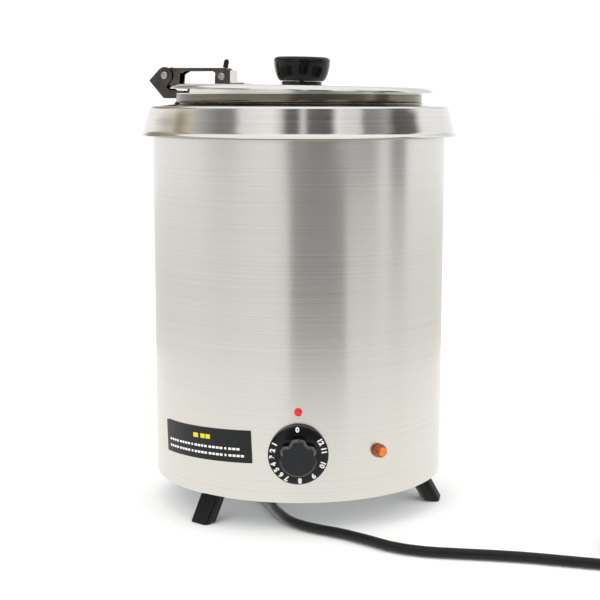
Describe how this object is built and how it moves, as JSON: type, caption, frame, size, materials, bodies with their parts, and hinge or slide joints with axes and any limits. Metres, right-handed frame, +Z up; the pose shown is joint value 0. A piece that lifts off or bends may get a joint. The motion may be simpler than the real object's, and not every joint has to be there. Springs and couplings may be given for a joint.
{
  "type": "soup kettle",
  "caption": "Round steel soup kettle with a lift-out pot in a flared ring, a flat hinged lid with a black knob, a thermostat dial, splayed feet and a coiled mains cord.",
  "frame": {"origin": "middle of the footprint on the floor, without the cord; the casing's axis stands 3.5 mm behind it", "axes": "+Z up, -Y toward the user, who faces the dial, +X to the user's right"},
  "size_m": [0.5585, 0.3835, 0.4147],
  "materials": {
    "casing_steel": "bright-rolled stainless sheet, faintly brushed round the body",
    "polished_steel": "mirror-polished stainless steel",
    "plated_steel": "zinc-plated or plain steel",
    "black_plastic": "moulded black phenolic, glossy",
    "black_rubber": "matt black cord sheath and moulded rubber",
    "insulation_felt": "needled mineral felt",
    "red_plastic": "moulded red marker",
    "amber_plastic": "translucent amber lens",
    "label_film": "printed black film",
    "ceramic_white": "white ceramic",
    "brass": "plain brass"
  },
  "bodies": {
    "base": {"outer_shell": "casing_steel", "base_plate": "plated_steel", "water_pan": "plated_steel", "insulation_sleeve": "insulation_felt", "heating_element": "plated_steel", "element_clamp": "plated_steel", "clamp_nut": "plated_steel", "thermal_cutout": "ceramic_white", "thermostat_body": "black_plastic", "bush_nut": "brass", "thermostat_bulb": "brass", "terminal_block": "ceramic_white", "index_dot": "red_plastic", "lamp_lens": "amber_plastic", "lamp_holder": "black_plastic", "lamp_nut": "plated_steel", "label_plate": "label_film", "foot_front_left": "black_plastic", "foot_right": "black_plastic", "foot_back": "black_plastic", "foot_front_left_screw": "plated_steel", "foot_right_screw": "plated_steel", "foot_back_screw": "plated_steel", "cord_gland": "black_rubber", "gland_nut": "plated_steel", "power_cord": "black_rubber", "cord_coil": "black_rubber", "cord_tail": "black_rubber", "cord_tie": "black_rubber", "plug_body": "black_rubber", "plug_pin_1": "plated_steel", "plug_pin_2": "plated_steel"},
    "dial": {"dial_skirt": "black_plastic", "dial_grip": "black_plastic", "thermostat_shaft": "plated_steel"},
    "top_ring": {"collar_ring": "casing_steel", "locating_ring": "plated_steel", "inner_pot": "polished_steel", "neck_bracket": "polished_steel"},
    "arm": {"hinge_arm": "polished_steel", "neck_pin": "polished_steel", "arm_stop": "black_rubber"},
    "lid": {"lid_shell": "polished_steel", "lid_spigot": "polished_steel", "knob_base": "black_plastic", "lid_knob": "black_plastic", "knob_screw": "plated_steel", "lid_rivet_1": "polished_steel", "lid_rivet_2": "polished_steel", "lid_bracket": "polished_steel", "lid_pin": "polished_steel"}
  },
  "joints": [
    {"name": "dial_turn", "type": "hinge", "parent": "base", "child": "dial", "pos_m": [0, -0.1315, 0.0725], "axis": [0, 1, 0], "range_deg": [0, 302]},
    {"name": "ring_lift", "type": "slide", "parent": "base", "child": "top_ring", "axis": [0, 0, 1], "range_m": [0, 0.24]},
    {"name": "arm_swing", "type": "hinge", "parent": "top_ring", "child": "arm", "pos_m": [-0.12526, 0.04909, 0.3978], "axis": [-0.342, -0.9397, 0], "range_deg": [0, 100]},
    {"name": "lid_swing", "type": "hinge", "parent": "arm", "child": "lid", "pos_m": [-0.06952, 0.0288, 0.39629], "axis": [-0.342, -0.9397, 0], "range_deg": [0, 8]}
  ],
  "couplings": [
    {"joint": "lid_swing", "follows": "arm_swing", "ratio": 0.08}
  ]
}
